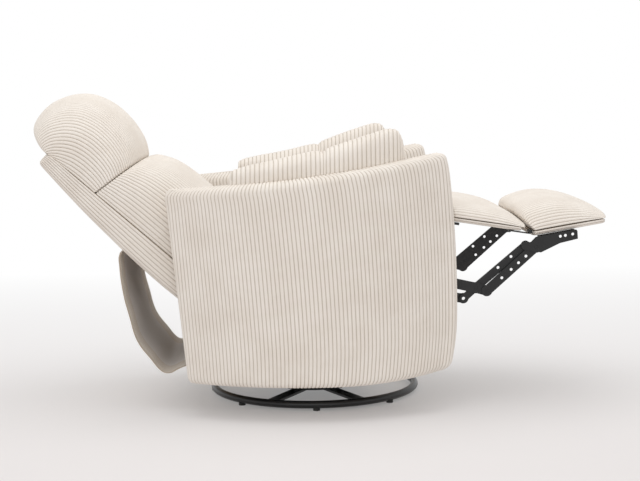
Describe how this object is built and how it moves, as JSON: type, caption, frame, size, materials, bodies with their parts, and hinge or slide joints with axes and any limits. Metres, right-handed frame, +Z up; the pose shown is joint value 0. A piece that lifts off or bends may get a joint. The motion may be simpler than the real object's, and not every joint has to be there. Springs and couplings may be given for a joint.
{
  "type": "swivel recliner armchair",
  "caption": "Corduroy swivel recliner armchair with barrel arms, fold-out footrest on a link mechanism and a round ring base.",
  "frame": {"origin": "on the floor, under the middle of the chair's reclined length; the swivel axis is 17 mm behind it", "axes": "+X forward, the way the sitter faces; +Z up; +Y to the sitter's left"},
  "size_m": [1.4712, 0.86, 0.8206],
  "materials": {
    "ivory_corduroy": "wide-wale corduroy",
    "lined_cloth": "corduroy outside, plain lining inside",
    "black_base_steel": "gloss black powder coat",
    "glide_plastic": "moulded matte",
    "bearing_steel": "black coated, pressed",
    "ball_steel": "polished",
    "zinc_steel": "zinc plated",
    "chassis_steel": "satin black coat",
    "link_steel": "satin black coat, stamped",
    "frame_wood": "planed, unfinished",
    "spring_wire": "drawn wire"
  },
  "bodies": {
    "base": {"base_ring": "black_base_steel", "cross_bars": "black_base_steel", "floor_glides": "glide_plastic", "lower_bearing_plate": "bearing_steel", "bearing_balls": "ball_steel", "centre_bolt": "zinc_steel"},
    "chair": {"upper_bearing_plate": "bearing_steel", "chassis_rails": "chassis_steel", "bearing_bolts": "zinc_steel", "front_cross_rail": "frame_wood", "rear_cross_rail": "frame_wood", "side_plate_left": "chassis_steel", "side_plate_right": "chassis_steel", "seat_frame": "frame_wood", "seat_springs": "spring_wire", "seat_cushion": "ivory_corduroy", "arm_left": "ivory_corduroy", "arm_right": "ivory_corduroy", "arm_pad_left": "ivory_corduroy", "arm_pad_right": "ivory_corduroy", "frame_bolts": "zinc_steel", "rear_drop_cloth": "lined_cloth"},
    "back": {"back_panel": "ivory_corduroy", "back_bracket_left": "chassis_steel", "back_bracket_right": "chassis_steel", "lumbar_cushion": "ivory_corduroy", "head_cushion": "ivory_corduroy"},
    "front_rockers": {"drive_tube": "chassis_steel", "front_rocker_left": "link_steel", "front_rocker_right": "link_steel"},
    "back_rockers": {"back_rocker_left": "link_steel", "back_rocker_right": "link_steel"},
    "carrier_links": {"carrier_link_left": "link_steel", "carrier_link_right": "link_steel"},
    "control_links": {"control_link_left": "link_steel", "control_link_right": "link_steel"},
    "footrest": {"footrest_bracket_left": "link_steel", "footrest_bracket_right": "link_steel", "bracket_screws": "zinc_steel", "front_footrest_board": "ivory_corduroy", "front_footrest_pad": "ivory_corduroy", "hinge_pins": "link_steel"},
    "middle_pad": {"middle_footrest_board": "ivory_corduroy", "middle_footrest_pad": "ivory_corduroy", "pad_hinges": "link_steel"}
  },
  "joints": [
    {"name": "swivel", "type": "hinge", "parent": "base", "child": "chair", "pos_m": [-0.01685, 0, 0.06], "axis": [0, 0, 1], "continuous": true},
    {"name": "recline", "type": "hinge", "parent": "chair", "child": "back", "pos_m": [-0.27685, 0, 0.38], "axis": [0, 1, 0], "range_deg": [0, 30], "deforming": ["rear_drop_cloth"]},
    {"name": "footrest", "type": "hinge", "parent": "chair", "child": "front_rockers", "pos_m": [0.23115, 0, 0.345], "axis": [0, 1, 0], "range_deg": [0, 88]},
    {"name": "back_rocker_turn", "type": "hinge", "parent": "chair", "child": "back_rockers", "pos_m": [0.20315, 0, 0.3], "axis": [0, 1, 0], "range_deg": [0, 90]},
    {"name": "carrier_turn", "type": "hinge", "parent": "front_rockers", "child": "carrier_links", "pos_m": [0.42315, 0, 0.3], "axis": [0, 1, 0], "range_deg": [-116, 0]},
    {"name": "control_turn", "type": "hinge", "parent": "front_rockers", "child": "control_links", "pos_m": [0.39515, 0, 0.308], "axis": [0, 1, 0], "range_deg": [-117, 0]},
    {"name": "bracket_turn", "type": "hinge", "parent": "carrier_links", "child": "footrest", "pos_m": [0.54915, 0, 0.412], "axis": [0, 1, 0], "range_deg": [0, 127.5]},
    {"name": "middle_pad_turn", "type": "hinge", "parent": "footrest", "child": "middle_pad", "pos_m": [0.53515, 0, 0.45], "axis": [0, 1, 0], "range_deg": [-19, 0]}
  ],
  "couplings": [
    {"joint": "back_rocker_turn", "follows": "footrest", "ratio": 1.0114},
    {"joint": "carrier_turn", "follows": "footrest", "ratio": -1.3116},
    {"joint": "control_turn", "follows": "footrest", "ratio": -1.3262},
    {"joint": "bracket_turn", "follows": "footrest", "ratio": 1.4418},
    {"joint": "middle_pad_turn", "follows": "footrest", "ratio": -0.20864}
  ]
}
